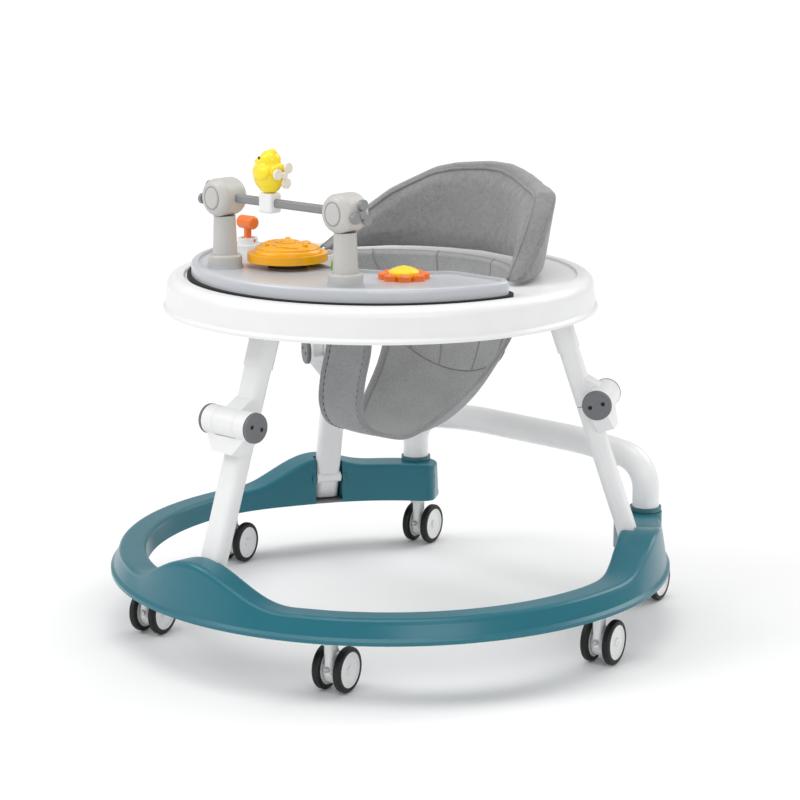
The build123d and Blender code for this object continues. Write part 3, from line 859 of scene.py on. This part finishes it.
def makeCasterBolts():
    yaw = radians(casters["yaw"])
    forward = np.array([sin(yaw), -cos(yaw), 0.0])
    side = np.array([cos(yaw), sin(yaw), 0.0])
    for place in ("front", "mid", "rear"):
        for label, sign in (("left", 1), ("right", -1)):
            x, y = casters[place]
            spot = np.array([sign * x, y, casters["boltZ"]]) + forward * casters["boltForward"]
            outline = ((0.0032, -0.001), (0.0032, 0.0012), (0.0026, 0.0018), (0.0016, 0.002),
                       (0.0014, 0.0012), (0.0001, 0.0012))
            bolt = lathe(f"caster_{place}_{label}_bolt", spot, forward, side, outline, "steel", 24)
            giveSlot(bolt, f"caster_{place}_{label}")


for legName in ("front", "left", "right"):
    makeKneeFittings(legName)
makeCasterBolts()
print("fittings done")


# Camera, lights and floor.
view = {
    "azimuth": 43.29, "elevation": 12.363, "distance": 2.78705,
    "aside": 0.00953, "aimY": 0.02234, "aimZ": 0.25698,
    "lens": 108.65, "sensor": 36.0,
}


def makeCamera():
    a, e = radians(view["azimuth"]), radians(view["elevation"])
    right = Vector((cos(a), sin(a), 0))
    forward = Vector((-sin(a) * cos(e), cos(a) * cos(e), -sin(e)))
    target = right * view["aside"] + Vector((0, view["aimY"], view["aimZ"]))
    data = bpy.data.cameras.new("camera")
    data.lens, data.sensor_width = view["lens"], view["sensor"]
    data.clip_end = 50
    camera = bpy.data.objects.new("camera", data)
    bpy.context.scene.collection.objects.link(camera)
    camera.location = target - forward * view["distance"]
    camera.rotation_euler = forward.to_track_quat("-Z", "Y").to_euler()
    bpy.context.scene.camera = camera


lights = (
    ("key", (-1.6, -2.2, 2.6), 1.9, 40), ("fill", (2.6, -1.4, 1.7), 1.8, 16),
    ("back", (0.6, 2.6, 2.3), 2.0, 26), ("top", (0.0, -0.2, 3.0), 2.4, 28),
)


def makeLights():
    for name, place, size, power in lights:
        data = bpy.data.lights.new(name, "AREA")
        data.shape, data.size, data.energy = "DISK", size, power
        lamp = bpy.data.objects.new(name, data)
        lamp.location = place
        lamp.rotation_euler = (Vector((0, 0, 0.28)) - Vector(place)).to_track_quat("-Z", "Y").to_euler()
        bpy.context.scene.collection.objects.link(lamp)
    world = bpy.data.worlds.new("studio")
    world.use_nodes = True
    background = world.node_tree.nodes["Background"].inputs
    background["Color"].default_value = (1, 1, 1, 1)
    background["Strength"].default_value = 0.55
    bpy.context.scene.world = world


def makeFloor():
    x = np.linspace(-12, 12, 3)
    gx, gy = np.meshgrid(x, x, indexing="ij")
    points = np.stack([gx, gy, np.full_like(gx, -0.0005)], -1).reshape(-1, 3)
    p = Paint("StudioFloor")
    # The floor near the walker takes its shadow; further out it fades to an even white.
    place = p.objectPlace()
    tone = p.noise(place, 1.5, 2.0)
    far = (p.node("VectorMath", {"operation": "LENGTH"}, {0: place}, "Value") - 0.45) / 0.75
    far = far.clamped(0.0, 1.0)
    near = p.mix(tone, (0.93, 0.93, 0.93), (0.95, 0.95, 0.95))
    p.shader.inputs["Emission Strength"].default_value = 1.0
    finish["floor"] = p.put(Base_Color=p.mix(far, near, (0.0, 0.0, 0.0)), Roughness=0.8,
                            Emission_Color=p.mix(far, (0.0, 0.0, 0.0), (1.0, 1.0, 1.0)))
    floor = meshFrom("floor", points, gridFaces(3, 3, False, False), "floor")


makeCamera()
makeLights()
makeFloor()
bpy.context.scene.view_settings.view_transform = "Standard"
print("camera, lights and floor placed")
